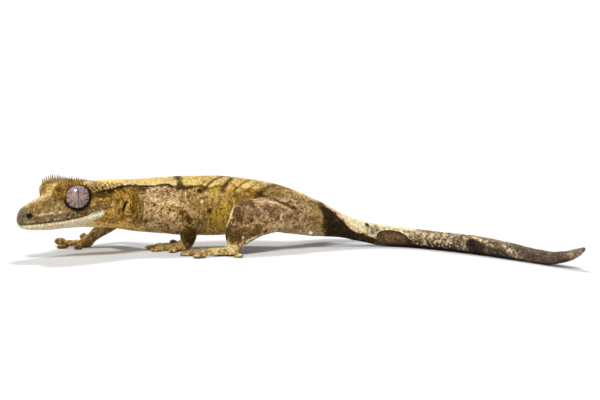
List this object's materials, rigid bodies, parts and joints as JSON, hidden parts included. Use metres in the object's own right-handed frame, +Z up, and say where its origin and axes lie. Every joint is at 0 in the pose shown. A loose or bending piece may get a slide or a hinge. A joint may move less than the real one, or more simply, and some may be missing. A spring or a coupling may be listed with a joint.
{
  "type": "crested gecko",
  "caption": "Young crested gecko standing with its head turned, one front leg reaching forward, spiny crests over the eyes, and a long tail curving along the floor.",
  "frame": {"origin": "centre of the floor area the animal covers, at floor level", "axes": "+Z up, -Y towards the head, +X towards the animal's left"},
  "size_m": [0.0718, 0.143, 0.0209],
  "materials": {
    "hide": "granular scaled skin, tan and olive with cream and dark brown markings",
    "hide_pale": "granular scaled skin, pale cream",
    "hide_dark": "granular scaled skin, grey brown mottled with cream",
    "hide_feet": "granular scaled skin, yellow tan",
    "eye": "wet and glossy, lilac grey iris with dark veins and a slit pupil",
    "claw": "dark horn"
  },
  "bodies": {
    "root": {"head": "hide", "lower_jaw": "hide_pale", "eye_left": "eye", "eye_right": "eye", "neck": "hide", "trunk_front": "hide", "trunk_rear": "hide", "tail_base": "hide", "tail_middle": "hide_dark", "tail_end": "hide_dark", "upper_arm_left": "hide", "forearm_left": "hide", "hand_left": "hide_feet", "thigh_left": "hide", "shank_left": "hide", "foot_left": "hide_feet", "upper_arm_right": "hide", "forearm_right": "hide", "hand_right": "hide_feet", "thigh_right": "hide", "shank_right": "hide", "foot_right": "hide_feet"}
  },
  "joints": []
}
